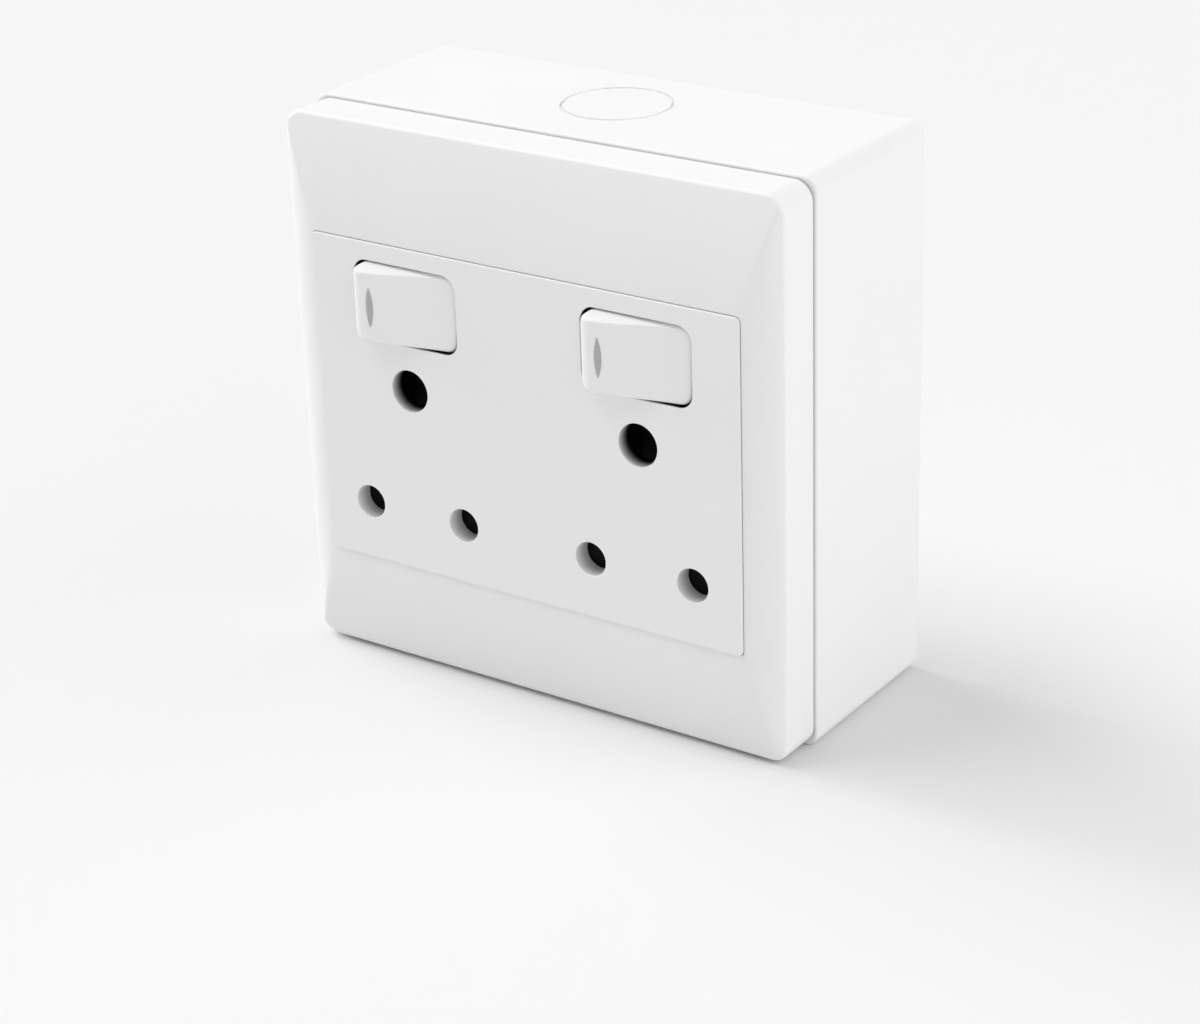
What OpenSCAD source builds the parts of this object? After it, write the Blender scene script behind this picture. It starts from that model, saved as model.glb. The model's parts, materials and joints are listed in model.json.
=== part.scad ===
// Surface-mounted twin switched socket outlet for round-pin 15 A plugs.
// Built lying on its back: x right, y up, z out of the wall, and stood upright by upright().
// Origin: centre of the box's back face. Millimetres.

/* [Box] */
// Ledge of the surface box round the cover plate
box_ledge = 0.7; // [0:0.1:3]
// Depth of the surface box
box_d = 43.6; // [41:0.1:60]
// Side wall of the box
box_wall = 2.6; // [1.8:0.1:3.2]
// Floor of the box
box_floor = 2.6; // [1.8:0.1:4]
// Outside corner radius of the box
box_corner = 3.2; // [1:0.1:5]
// Radius of the screw pillars
pillar_r = 4.2; // [3:0.1:5]
// Distance from the box's sides in to the screw pillars
pillar_in = 10.7; // [9.6:0.1:12]
// Radius of the wall fixing holes
fixing_r = 2.5; // [1.8:0.1:3]
// Distance between wall fixing holes, across
fixing_pitch_x = 60; // [40:1:80]
// Distance between wall fixing holes, up
fixing_pitch_y = 92; // [84:1:98]
// Radius of the cable entry through the floor
entry_r = 10; // [8:0.5:12]
// Height of the cable entry above the middle
entry_y = 26; // [15:1:28]
// Radius of the conduit knockout ring
knockout_r = 12.2; // [8:0.1:14]
// How far the knockout stands out from the wall, to its centre
knockout_z = 20; // [17:0.5:26]

/* [Cover plate] */
// Width of the plate's bands beside the socket front
band_x = 8.2; // [6:0.1:16]
// Width of the plate's bands above and below the socket front
band_y = 25; // [23:0.1:40]
// Outside corner radius of the cover plate
plate_corner = 5; // [4.5:0.1:10]
// Depth of the plate's side, from seam to rim
plate_side = 10.6; // [9.5:0.1:14]
// Rise of the pillow front above the rim
crown = 3.7; // [2.9:0.1:4.2]
// Wall of the cover plate
plate_wall = 2.4; // [1.8:0.1:2.6]
// Seam between cover plate and box
seam = 0.4; // [0.2:0.1:0.6]

/* [Socket front] */
// Width of the socket front
front_w = 107.6; // [106:0.2:109]
// Height of the socket front
front_h = 74; // [72:0.2:77]
// How far the socket front stands proud of the cover plate
front_proud = 0.5; // [0.2:0.1:0.8]
// Wall of the socket front
front_wall = 2.2; // [1.8:0.1:2.6]
// Distance between the two outlets
outlet_pitch = 58.6; // [57:0.2:60]

/* [Pin holes] */
// Radius of the line and neutral pins
pin_r = 3.53; // [3.3:0.01:3.6]
// Radius of the earth pin
earth_pin_r = 4.355; // [4.1:0.005:4.5]
// Play between a pin and its hole
pin_play = 0.27; // [0.15:0.01:0.35]
// Play between the earth pin and its hole
earth_play = 0.395; // [0.2:0.005:0.45]
// Distance between the line and neutral pins
pin_pitch = 25.4; // [25:0.1:25.8]
// Distance from the line of the two pins up to the earth pin
earth_offset = 28.575; // [28.2:0.005:29]
// Height of the line and neutral holes below the middle
pin_drop = 23.6; // [22.8:0.1:24.2]
// Length of the guides behind the front
guide_l = 4.4; // [3.6:0.1:5]

/* [Rockers] */
// Width of the rocker aperture
aperture_w = 27; // [26:0.1:28]
// Height of the rocker aperture
aperture_h = 17.8; // [17:0.1:18.4]
// Corner radius of the rocker aperture
aperture_corner = 3.5; // [2.5:0.1:4]
// Height of the rockers above the middle
rocker_y = 24.1; // [23.8:0.1:24.4]
// Gap beside the rocker
rocker_side_gap = 0.65; // [0.6:0.01:0.8]
// Gap above and below the rocker
rocker_end_gap = 0.4; // [0.3:0.01:0.6]
// Tilt of a rocker from its middle, each way
rocker_tilt = 6; // [4:0.1:6.2]
// Depth of the dish in a rocker's face
dish = 0.5; // [0.2:0.05:0.8]
// Length of the indicator lens
lens_l = 9; // [6:0.1:10]
// Width of the indicator lens
lens_w = 2.1; // [1.4:0.1:2.6]

/* [Shutters] */
// Thickness of a shutter
shutter_t = 1.6; // [1.2:0.1:1.7]
// Travel of a shutter
shutter_travel = 8.2; // [8.1:0.05:8.5]

/* [Hidden] */
$fn = 64;

// Overrun of every cut, and the running gap between pieces that slide or turn on each other
cut = 0.5;
run = 0.3;
// Face-to-face slip inside a moulded pocket
slip = 0.2;

// Plate and box, round the front
plate_w = front_w + 2 * band_x;
plate_h = front_h + 2 * band_y;
box_w = plate_w + 2 * box_ledge;
box_h = plate_h + 2 * box_ledge;
pillar_x = box_w / 2 - pillar_in;
pillar_y = box_h / 2 - pillar_in;

// Outlets stand left and right of the middle
left = -outlet_pitch / 2;
right = outlet_pitch / 2;
half_pitch = pin_pitch / 2;
pin_y = -pin_drop;
earth_y = pin_y + earth_offset;
pin_hole_r = pin_r + pin_play;
earth_hole_r = earth_pin_r + earth_play;

// Mounting frame, on the pillars, level with the box's rim
frame_t = 2;
frame_z = box_d;
frame_gap = 0.4;
frame_w = plate_w - 2 * plate_wall - 2 * frame_gap;
frame_h = plate_h - 2 * plate_wall - 2 * frame_gap;
frame_corner = 3.8;
window_gap = 1;
frame_hole_r = 1.9;

// Levels of the plate and the front, out of the wall
rim_z = box_d + seam + plate_side;
field_z = rim_z + crown;
face_z = field_z + front_proud;
front_z = frame_z + frame_t;

// Step behind the socket front, trapped under the plate
step_over_x = 1.4;
step_over_y = 3;
step_wall = 1.6;
step_under = 0.6;
step_z = field_z - plate_wall - step_under;
front_corner = 1.2;
window_play = 0.3;
guide_wall = 1.4;
guide_z = face_z - guide_l;

// Screws through the base's flange into the front
base_screw_out = 3.6;
base_screw_y = 22;
base_screw_r = 1.2;
base_hole_r = 1.5;
base_head_r = 2.4;
base_head_h = 1.8;
base_boss_r = 2.5;
base_screw_l = 10;

// Base moulding
flange_t = 2;
flange_over_x = 6.3;
flange_over_y = 4;
base_side = 7;
base_end = 1.9;
switch_pocket_l = 10.6;
switch_pocket_h = 12;
base_w = outlet_pitch + pin_pitch + 2 * base_side;
base_h = 2 * rocker_y + switch_pocket_h + 2 * base_end;
base_screw_x = base_w / 2 + base_screw_out;
flange_w = base_w + 2 * flange_over_x;
flange_h = base_h + 2 * flange_over_y;
window_w = base_w + 2 * window_gap;
window_h = base_h + 2 * window_gap;
base_z = 21.3;
channel_z = 27.2;
pocket_z = 34.8;
channel_w = 6.6;

// Brass strip and sleeves
strip_t = 1.2;
strip_w = 4.4;
bar_w = 6;
sleeve_wall = 0.9;
sleeve_play = 0.07;
sleeve_slit = 1;
sleeve_top = front_z - run;
tail_r = 3;
pillar_w = 8.6;
pillar_z = 13.3;
wire_hole_r = 2.1;
wire_drop = 4;
terminal_screw_r = 1.65;
terminal_bore_r = 1.75;
terminal_screw_out = 1;
slot_w = 0.8;
slot_d = 0.8;

// Frame screws
frame_screw_r = 1.4;
pillar_bore_r = 1.5;
frame_screw_l = 12;
frame_head_r = 3.2;
frame_head_h = 1.9;

// Rocker, about its pivot
trunnion_r = 1.1;
trunnion_play = 0.05;
trunnion_l = 2.5;
lug_t = 3;
lug_half_w = 2.6;
rocker_w = aperture_w - 2 * rocker_side_gap;
rocker_h = aperture_h - 2 * rocker_end_gap;
rocker_corner = aperture_corner - rocker_end_gap;
pivot_z = face_z - front_wall - trunnion_r - run;
rocker_face = face_z - pivot_z;
rocker_top = rocker_face + dish;
rocker_skirt = 3.4;
rocker_wall = 1.5;
rocker_roof = 1.8;
shoulder_x = 1.6;
shoulder_y = 2.2;
dish_r = (pow(rocker_w / 2, 2) + pow(dish, 2)) / (2 * dish);
lens_in = 4;
lens_x = -rocker_w / 2 + lens_in;
lens_play = 0.05;
lens_proud = 0.1;

// Spring plunger in the rocker's stem
stem_r = 3;
stem_l = 7;
stem_bore_r = 2.15;
stem_roof = 1;
plunger_r = 2.05;
plunger_tip_r = 1.5;
plunger_reach = 9.7;
plunger_neck = 6.6;
plunger_back = 3.2;
spigot_r = 1;
spigot_l = 1.8;
coil_r = 1.5;
coil_wire_r = 0.28;
coil_turns = 4;

// Moving contact, about its fulcrum
contact_l = 8.6;
contact_half_w = 2.4;
contact_t = 1.2;
contact_lift = 0.9;
contact_tilt = 8;
fulcrum_r = 1;
fulcrum_half_w = 2;
notch_r = fulcrum_r + slip;
ear_t = 0.8;
ear_w = 4;
ear_drop = 1;
button_x = 7;
button_r = 1.6;
button_t = 0.8;
fulcrum_z = pivot_z - plunger_reach - run - contact_lift - contact_t;
stud_r = 1.8;
stud_z = fulcrum_z + (contact_lift - button_t) * cos(contact_tilt)
         - (button_x + button_r) * sin(contact_tilt) - run;

// Neon lamp under the lens
lamp_x = -8;
lamp_r = 2;
lamp_half_l = 4.2;
lead_r = 0.4;
lead_reach = 8;
lamp_post_w = 2.2;
lamp_post_y = 7.5;
lamp_lift = 3;
lamp_z = front_z + lamp_lift;

// Shutter, its ramp, spring, post and rails
shutter_z = guide_z - run - shutter_t;
blade_half_w = 17;
blade_cover = 0.5;
blade_half_h = pin_hole_r + blade_cover;
tongue_half_w = 3;
ramp_foot_y = earth_y - earth_pin_r - run;
ramp_head_y = ramp_foot_y + shutter_travel;
ramp_z = front_z + run;
ramp_t = 1.8;
catch_y = -2;
catch_t = 1.8;
post_y = -18;
post_t = 2;
spring_lift = 3;
spring_z = front_z + spring_lift;
peg_r = 1.3;
peg_l = 2.5;
return_r = 1.9;
return_wire_r = 0.3;
return_turns = 7;
rail_x = 15.2;
rail_t = 1.6;
rail_low_y = -31;
rail_high_y = -19.6;

// Plate clips
clip_x = 32;
clip_w = 9;
clip_t = 1.5;
clip_notch = 2.3;
clip_nose = 1.1;
clip_drop = 1.4;

// Knockout ring groove
ring_w = 0.7;
ring_d = 0.5;

// Stands the wall frame upright: z out of the wall becomes the front, which faces -Y
module upright() {
    rotate([90, 0, 0])
        children();
}

// A rectangle about the middle with round corners
module rounded_rect(w, h, r) {
    square([w - 2 * r, h], center = true);
    square([w, h - 2 * r], center = true);
    for (sx = [-1, 1], sy = [-1, 1])
        translate([sx * (w / 2 - r), sy * (h / 2 - r)])
            circle(r);
}

// A block with round corners, from z0 up to z1
module rounded_block(w, h, r, z0, z1) {
    translate([0, 0, z0])
        linear_extrude(z1 - z0)
            rounded_rect(w, h, r);
}

// A block about the middle, from z0 up to z1
module block(w, h, z0, z1) {
    translate([-w / 2, -h / 2, z0])
        cube([w, h, z1 - z0]);
}

// A round rod out of the wall, from z0 up to z1
module rod(r, z0, z1) {
    translate([0, 0, z0])
        cylinder(r = r, h = z1 - z0);
}

// A round rod along y, from y0 to y1
module cross_rod(r, y0, y1) {
    translate([0, y0, 0])
        rotate([-90, 0, 0])
            cylinder(r = r, h = y1 - y0);
}

// A coil spring along z: a wire swept by rings along a helix
module coil(mean_r, wire_r, length, turns) {
    sides = 8;
    per_turn = 14;
    rings = turns * per_turn;
    lead = (length - 2 * wire_r) / rings;
    points = [for (i = [0 : rings], k = [0 : sides - 1])
        let (a = 360 * i / per_turn, b = 360 * k / sides, d = mean_r + wire_r * cos(b))
            [d * cos(a), d * sin(a), wire_r + lead * i + wire_r * sin(b)]];
    skin = [for (i = [0 : rings - 1], k = [0 : sides - 1])
        let (n = (k + 1) % sides)
            [i * sides + k, i * sides + n, (i + 1) * sides + n, (i + 1) * sides + k]];
    start = [for (k = [0 : sides - 1]) sides - 1 - k];
    end = [for (k = [0 : sides - 1]) rings * sides + k];
    // Faces are listed clockwise seen from outside
    flipped = [for (f = concat(skin, [start, end])) [for (j = [len(f) - 1 : -1 : 0]) f[j]]];
    polyhedron(points, flipped);
}

// Section of the pillow front: flat over the field, a round shoulder down through the rim.
// It runs past the pillow's sides and base, which the rounded block trims.
module pillow_section(half, field, base, rim, rise) {
    band = half - field;
    reach = half + cut;
    floor = base - cut;
    r = (pow(band, 2) + pow(rise, 2)) / (2 * rise);
    translate([-reach, floor])
        square([2 * reach, rim - 2 * cut - floor]);
    translate([-field, floor])
        square([2 * field, rim + rise - floor]);
    for (side = [-1, 1])
        intersection() {
            translate([side * field, rim + rise - r])
                circle(r, $fn = 240);
            translate([side > 0 ? 0 : -reach, floor])
                square([reach, rim + rise - floor]);
        }
}

// Pillow: two crowned sections meet in mitres that run from the plate's corners to the front's.
// The shoulders start just inside the socket front's edge, so the window cuts their tangent line away.
module pillow(w, h, r, base, rim) {
    intersection() {
        rounded_block(w, h, r, base, rim + crown + cut);
        rotate([90, 0, 0])
            linear_extrude(h + 2 * cut, center = true)
                pillow_section(w / 2, front_w / 2 - front_corner, base, rim, crown);
        rotate([90, 0, 90])
            linear_extrude(w + 2 * cut, center = true)
                pillow_section(h / 2, front_h / 2 - front_corner, base, rim, crown);
    }
}

// Surface box with pillars, wall fixing holes and conduit knockouts
module back_box() {
    color("whitesmoke")
        upright()
            difference() {
                union() {
                    difference() {
                        rounded_block(box_w, box_h, box_corner, 0, box_d);
                        rounded_block(box_w - 2 * box_wall, box_h - 2 * box_wall,
                                      box_corner - box_wall / 2, box_floor, box_d + cut);
                    }
                    for (sx = [-1, 1], sy = [-1, 1])
                        translate([sx * pillar_x, sy * pillar_y, 0])
                            rod(pillar_r, box_floor / 2, box_d);
                }
                for (sx = [-1, 1], sy = [-1, 1]) {
                    translate([sx * pillar_x, sy * pillar_y, 0])
                        rod(pillar_bore_r, frame_z + frame_t - frame_screw_l - frame_t, box_d + cut);
                    translate([sx * fixing_pitch_x / 2, sy * fixing_pitch_y / 2, 0])
                        rod(fixing_r, -cut, box_floor + cut);
                }
                translate([0, entry_y, 0])
                    rod(entry_r, -cut, box_floor + cut);
                for (side = [-1, 1])
                    translate([0, side * box_h / 2, knockout_z])
                        knockout_groove();
            }
}

// Ring groove round a conduit knockout, cut into the outside of a wall
module knockout_groove() {
    difference() {
        cross_rod(knockout_r, -ring_d, ring_d);
        cross_rod(knockout_r - ring_w, -ring_d - cut, ring_d + cut);
    }
}

// Mounting frame: carries the socket between its front and its base, and the plate's clips
module mounting_frame() {
    color("gainsboro")
        upright()
            difference() {
                rounded_block(frame_w, frame_h, frame_corner, frame_z, frame_z + frame_t);
                block(window_w, window_h, frame_z - cut, frame_z + frame_t + cut);
                for (sx = [-1, 1], sy = [-1, 1]) {
                    translate([sx * pillar_x, sy * pillar_y, 0])
                        rod(frame_hole_r, frame_z - cut, frame_z + frame_t + cut);
                    translate([sx * base_screw_x, sy * base_screw_y, 0])
                        rod(base_hole_r, frame_z - cut, frame_z + frame_t + cut);
                    translate([sx * clip_x, sy * (frame_h / 2), 0])
                        block(clip_w + 2 * run, 2 * clip_notch, frame_z - cut, frame_z + frame_t + cut);
                }
            }
}

// A slotted screw with a pan head, pointing into the wall, its head's seat at z = 0
module pan_screw(r, length, head_r, head_h) {
    difference() {
        union() {
            rod(r, -length, head_h / 2);
            rod(head_r, 0, head_h);
        }
        block(2 * head_r + cut, slot_w, head_h - slot_d, head_h + cut);
    }
}

// Four screws that hold the mounting frame on the box's pillars
module frame_screws() {
    color("silver")
        upright()
            for (sx = [-1, 1], sy = [-1, 1])
                translate([sx * pillar_x, sy * pillar_y, front_z])
                    pan_screw(frame_screw_r, frame_screw_l, frame_head_r, frame_head_h);
}

// Cover plate with its pillow front, the window for the socket front and four clips
module cover_plate() {
    base = box_d + seam;
    color("white")
        upright() {
            difference() {
                pillow(plate_w, plate_h, plate_corner, base, rim_z);
                pillow(plate_w - 2 * plate_wall, plate_h - 2 * plate_wall,
                       plate_corner - plate_wall, base - cut, rim_z - plate_wall);
                rounded_block(front_w + 2 * window_play, front_h + 2 * window_play,
                              front_corner, base, field_z + cut);
            }
            for (sx = [-1, 1], side = [0, 180])
                rotate([0, 0, side])
                    translate([sx * clip_x, frame_h / 2 - clip_notch + run, 0])
                        plate_clip();
        }
}

// One clip: a tongue from the plate's underside, its nose under the mounting frame
module plate_clip() {
    root_z = rim_z - plate_wall / 2;
    foot_z = frame_z - clip_drop;
    translate([clip_w / 2, 0, 0])
        rotate([90, 0, -90])
            linear_extrude(clip_w)
                polygon([[0, root_z], [-clip_t, root_z], [-clip_t, foot_z], [-clip_t / 2, foot_z],
                         [clip_nose, frame_z - slip / 2], [0, frame_z - slip / 2]]);
}

// Socket front: face, step under the plate, pin guides, rocker bearings and screw bosses
module socket_front() {
    inner_w = front_w - 2 * step_wall;
    inner_h = front_h - 2 * step_wall;
    step_w = front_w + 2 * step_over_x;
    step_h = front_h + 2 * step_over_y;
    color("white")
        upright()
            difference() {
                union() {
                    difference() {
                        union() {
                            rounded_block(step_w, step_h, front_corner, front_z, step_z);
                            rounded_block(front_w, front_h, front_corner, front_z, face_z);
                        }
                        block(inner_w, inner_h, front_z - cut, face_z - front_wall);
                        block(step_w - 2 * step_wall, step_h - 2 * step_wall, front_z - cut, guide_z);
                    }
                    for (x = [left, right]) {
                        for (side = [-1, 1]) {
                            translate([x + side * half_pitch, pin_y, 0])
                                rod(pin_hole_r + guide_wall, guide_z, face_z - front_wall / 2);
                            translate([x, rocker_y + side * (aperture_h + lug_t) / 2, 0])
                                block(2 * lug_half_w, lug_t, pivot_z - lug_half_w, face_z - front_wall / 2);
                        }
                        translate([x, earth_y, 0])
                            rod(earth_hole_r + guide_wall, guide_z, face_z - front_wall / 2);
                    }
                    for (sx = [-1, 1], sy = [-1, 1])
                        translate([sx * base_screw_x, sy * base_screw_y, 0])
                            rod(base_boss_r, front_z, step_z - step_wall / 2);
                }
                for (x = [left, right]) {
                    for (side = [-1, 1])
                        translate([x + side * half_pitch, pin_y, 0])
                            rod(pin_hole_r, guide_z - cut, face_z + cut);
                    translate([x, earth_y, 0])
                        rod(earth_hole_r, guide_z - cut, face_z + cut);
                    translate([x, rocker_y, 0])
                        rounded_block(aperture_w, aperture_h, aperture_corner,
                                      face_z - front_wall - cut, face_z + cut);
                    translate([x, rocker_y, pivot_z])
                        cross_rod(trunnion_r + trunnion_play, -aperture_h / 2 - lug_t - cut,
                                  aperture_h / 2 + lug_t + cut);
                }
                for (sx = [-1, 1], sy = [-1, 1])
                    translate([sx * base_screw_x, sy * base_screw_y, 0])
                        rod(base_screw_r + trunnion_play, front_z - cut,
                            front_z + base_screw_l - frame_t - flange_t + cut);
            }
}

// Base moulding: flange, switch and sleeve pockets, bar channels, shutter rails and posts
module socket_base() {
    color("dimgray")
        upright()
            difference() {
                union() {
                    block(base_w, base_h, base_z, front_z);
                    block(flange_w, flange_h, frame_z - flange_t, frame_z);
                    for (x = [left, right])
                        translate([x, 0, 0])
                            base_furniture();
                }
                for (x = [left, right])
                    translate([x, 0, 0])
                        outlet_pockets();
                for (y = [pin_y, earth_y, rocker_y])
                    translate([0, y, 0])
                        block(pillar_w + 2 * run, pillar_w + 2 * run, base_z - cut, channel_z);
                for (y = [earth_y, rocker_y])
                    translate([0, y, 0])
                        block(outlet_pitch + channel_w + 2 * run, channel_w, base_z - cut, channel_z);
                translate([-half_pitch, pin_y, 0])
                    block(outlet_pitch + channel_w + 2 * run, channel_w, base_z - cut, channel_z);
                for (sx = [-1, 1], sy = [-1, 1])
                    translate([sx * base_screw_x, sy * base_screw_y, 0])
                        rod(base_hole_r, frame_z - flange_t - cut, frame_z + cut);
            }
}

// What stands up from the base beside one outlet: shutter rails, spring post and lamp posts
module base_furniture() {
    rail_mid = (rail_low_y + rail_high_y) / 2;
    for (side = [-1, 1]) {
        translate([side * rail_x, rail_mid, 0])
            block(rail_t, rail_high_y - rail_low_y, front_z - cut, shutter_z - run);
        translate([lamp_x, rocker_y + side * lamp_post_y, 0])
            block(lamp_post_w, lamp_post_w, front_z - cut, lamp_z - lead_r);
    }
    translate([0, post_y - post_t / 2, 0])
        block(2 * tongue_half_w, post_t, front_z - cut, shutter_z - run);
    translate([0, 0, spring_z])
        cross_rod(peg_r, post_y - post_t / 2, post_y + peg_l);
}

// What is hollowed out of the base for one outlet
module outlet_pockets() {
    pin_pocket_r = pin_r + sleeve_play + sleeve_wall + slip;
    earth_pocket_r = earth_pin_r + sleeve_play + sleeve_wall + slip;
    pocket_right = half_pitch + strip_w / 2 + slip;
    for (side = [-1, 1])
        translate([side * half_pitch, pin_y, 0])
            rod(pin_pocket_r, pocket_z, front_z + cut);
    translate([-half_pitch, pin_y, 0])
        rod(tail_r + slip, channel_z - cut, pocket_z + cut);
    translate([0, earth_y, 0])
        rod(earth_pocket_r, channel_z, front_z + cut);
    translate([-switch_pocket_l, rocker_y - switch_pocket_h / 2, pocket_z])
        cube([switch_pocket_l + pocket_right, switch_pocket_h, front_z - pocket_z + cut]);
    translate([half_pitch - strip_w / 2 - slip, pin_y, pocket_z])
        cube([strip_w + 2 * slip, rocker_y - pin_y, front_z - pocket_z + cut]);
    translate([0, rocker_y, 0])
        block(2 * fulcrum_r + 2 * slip, 2 * fulcrum_half_w + 2 * slip, channel_z - cut, pocket_z + cut);
}

// Four screws from behind that clamp base, frame and front together
module base_screws() {
    color("silver")
        upright()
            for (sx = [-1, 1], sy = [-1, 1])
                translate([sx * base_screw_x, sy * base_screw_y, frame_z - flange_t])
                    rotate([180, 0, 0])
                        pan_screw(base_screw_r, base_screw_l, base_head_r, base_head_h);
}

// Outline of the indicator lens: two arcs that meet in points
module lens_outline(play) {
    half_l = lens_l / 2 + play;
    half_w = lens_w / 2 + play;
    r = (pow(half_l, 2) + pow(half_w, 2)) / (2 * half_w);
    intersection() {
        translate([r - half_w, 0])
            circle(r, $fn = 120);
        translate([half_w - r, 0])
            circle(r, $fn = 120);
    }
}

// A rocker about its pivot, in its middle position
module rocker_shape() {
    difference() {
        union() {
            difference() {
                intersection() {
                    rounded_block(rocker_w, rocker_h, rocker_corner, -rocker_skirt, rocker_top);
                    rotate([90, 0, 0])
                        linear_extrude(rocker_h, center = true)
                            shoulder_section(rocker_w, shoulder_x);
                    rotate([90, 0, 90])
                        linear_extrude(rocker_w, center = true)
                            shoulder_section(rocker_h, shoulder_y);
                }
                translate([0, 0, rocker_face + dish_r])
                    rotate([90, 0, 0])
                        cylinder(r = dish_r, h = rocker_h + cut, center = true, $fn = 360);
                block(rocker_w - 2 * rocker_wall, rocker_h - 2 * rocker_wall,
                      -rocker_skirt - cut, rocker_face - rocker_roof);
            }
            rod(stem_r, -stem_l, rocker_face - rocker_roof / 2);
            for (side = [0, 180])
                rotate([0, 0, side])
                    cross_rod(trunnion_r, rocker_h / 2 - rocker_wall / 2, aperture_h / 2 + trunnion_l);
        }
        rod(stem_bore_r, -stem_l - cut, rocker_face - rocker_roof - stem_roof);
        translate([lens_x, 0, -rocker_skirt])
            linear_extrude(rocker_skirt + rocker_top + cut)
                lens_outline(lens_play);
    }
}

// Section of a rocker with round shoulders at its face
module shoulder_section(w, r) {
    translate([-w / 2, -rocker_skirt])
        square([w, rocker_skirt + rocker_top - r]);
    translate([-w / 2 + r, -rocker_skirt])
        square([w - 2 * r, rocker_skirt + rocker_top]);
    for (side = [-1, 1])
        translate([side * (w / 2 - r), rocker_top - r])
            circle(r);
}

// Puts a rocker's own piece at its outlet, tilted to rest with its left side out
module at_rocker(x) {
    upright()
        translate([x, rocker_y, pivot_z])
            rotate([0, rocker_tilt, 0])
                children();
}

module rocker_left() {
    color("white")
        at_rocker(left)
            rocker_shape();
}

module rocker_right() {
    color("white")
        at_rocker(right)
            rocker_shape();
}

// Indicator lens, flush in the rocker's face
module lens_shape() {
    lens_drop = rocker_face + pow(lens_x, 2) / (2 * dish_r);
    translate([lens_x, 0, rocker_face - rocker_roof])
        linear_extrude(lens_drop + lens_proud - rocker_face + rocker_roof)
            lens_outline(0);
}

module indicator_lens_left() {
    color("darkgray")
        at_rocker(left)
            lens_shape();
}

module indicator_lens_right() {
    color("darkgray")
        at_rocker(right)
            lens_shape();
}

// Plunger that the rocker drags across the moving contact
module plunger_shape() {
    translate([0, 0, plunger_tip_r - plunger_reach])
        sphere(plunger_tip_r);
    rod(plunger_tip_r, plunger_tip_r - plunger_reach, -plunger_neck + cut);
    rod(plunger_r, -plunger_neck, -plunger_back);
    rod(spigot_r, -plunger_back - cut, spigot_l - plunger_back);
}

module plunger_left() {
    color("ivory")
        at_rocker(left)
            plunger_shape();
}

module plunger_right() {
    color("ivory")
        at_rocker(right)
            plunger_shape();
}

// Spring between the plunger's shoulder and the roof of the stem's bore
module plunger_spring_shape() {
    translate([0, 0, -plunger_back])
        coil(coil_r, coil_wire_r, rocker_face - rocker_roof - stem_roof + plunger_back, coil_turns);
}

module plunger_spring_left() {
    color("silver")
        at_rocker(left)
            plunger_spring_shape();
}

module plunger_spring_right() {
    color("silver")
        at_rocker(right)
            plunger_spring_shape();
}

// See-saw contact about its fulcrum, in its middle position
module moving_contact_shape() {
    difference() {
        union() {
            block(2 * contact_l, 2 * contact_half_w, contact_lift, contact_lift + contact_t);
            for (side = [-1, 1])
                translate([0, side * (contact_half_w + ear_t / 2), 0])
                    block(ear_w, ear_t, -ear_drop, contact_lift + contact_t);
            translate([button_x, 0, 0])
                rod(button_r, contact_lift - button_t, contact_lift + contact_t / 2);
        }
        cross_rod(notch_r, -contact_half_w, contact_half_w);
    }
}

// Puts a moving contact on its fulcrum, tilted open
module at_fulcrum(x) {
    upright()
        translate([x, rocker_y, fulcrum_z])
            rotate([0, -contact_tilt, 0])
                children();
}

module moving_contact_left() {
    color("goldenrod")
        at_fulcrum(left)
            moving_contact_shape();
}

module moving_contact_right() {
    color("goldenrod")
        at_fulcrum(right)
            moving_contact_shape();
}

// Pillar terminal behind a bar: wire hole from below, screw from behind
module terminal_pillar() {
    difference() {
        block(pillar_w, pillar_w, pillar_z, channel_z - strip_t / 2);
        translate([0, 0, pillar_z + wire_drop])
            cross_rod(wire_hole_r, -pillar_w, pillar_w);
        rod(terminal_bore_r, pillar_z - cut, pillar_z + wire_drop);
    }
}

// A bar in its channel, from x0 to x1
module bar(x0, x1) {
    translate([x0, -bar_w / 2, channel_z - strip_t])
        cube([x1 - x0, bar_w, strip_t]);
}

// A split contact sleeve on a disc, from z0 up to the front of the base
module sleeve(for_r, z0) {
    inside = for_r + sleeve_play;
    difference() {
        rod(inside + sleeve_wall, z0, sleeve_top);
        rod(inside, z0 + strip_t, sleeve_top + cut);
        translate([-sleeve_slit / 2, 0, z0 + strip_t])
            cube([sleeve_slit, inside + sleeve_wall + cut, sleeve_top - z0]);
    }
}

// Supply bar with a fulcrum post under each moving contact
module live_feed_bar() {
    color("goldenrod")
        upright()
            translate([0, rocker_y, 0]) {
                bar(left - bar_w / 2, right + bar_w / 2);
                terminal_pillar();
                for (x = [left, right])
                    translate([x, 0, 0]) {
                        block(2 * fulcrum_r, 2 * fulcrum_half_w, channel_z - strip_t / 2, fulcrum_z);
                        translate([0, 0, fulcrum_z])
                            cross_rod(fulcrum_r, -fulcrum_half_w, fulcrum_half_w);
                    }
            }
}

// Switched contact: fixed stud, strip down the base and the line pin's sleeve
module live_contact_shape() {
    strip_z = pocket_z + strip_t;
    translate([half_pitch, pin_y, 0])
        sleeve(pin_r, pocket_z);
    translate([half_pitch - strip_w / 2, pin_y + pin_r, pocket_z])
        cube([strip_w, rocker_y - pin_y - pin_r + strip_w / 2, strip_t]);
    translate([button_x, rocker_y - strip_w / 2, pocket_z])
        cube([half_pitch - button_x, strip_w, strip_t]);
    translate([button_x, rocker_y, 0])
        rod(stud_r, strip_z - strip_t, stud_z);
}

module live_contact_left() {
    color("goldenrod")
        upright()
            translate([left, 0, 0])
                live_contact_shape();
}

module live_contact_right() {
    color("goldenrod")
        upright()
            translate([right, 0, 0])
                live_contact_shape();
}

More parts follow.
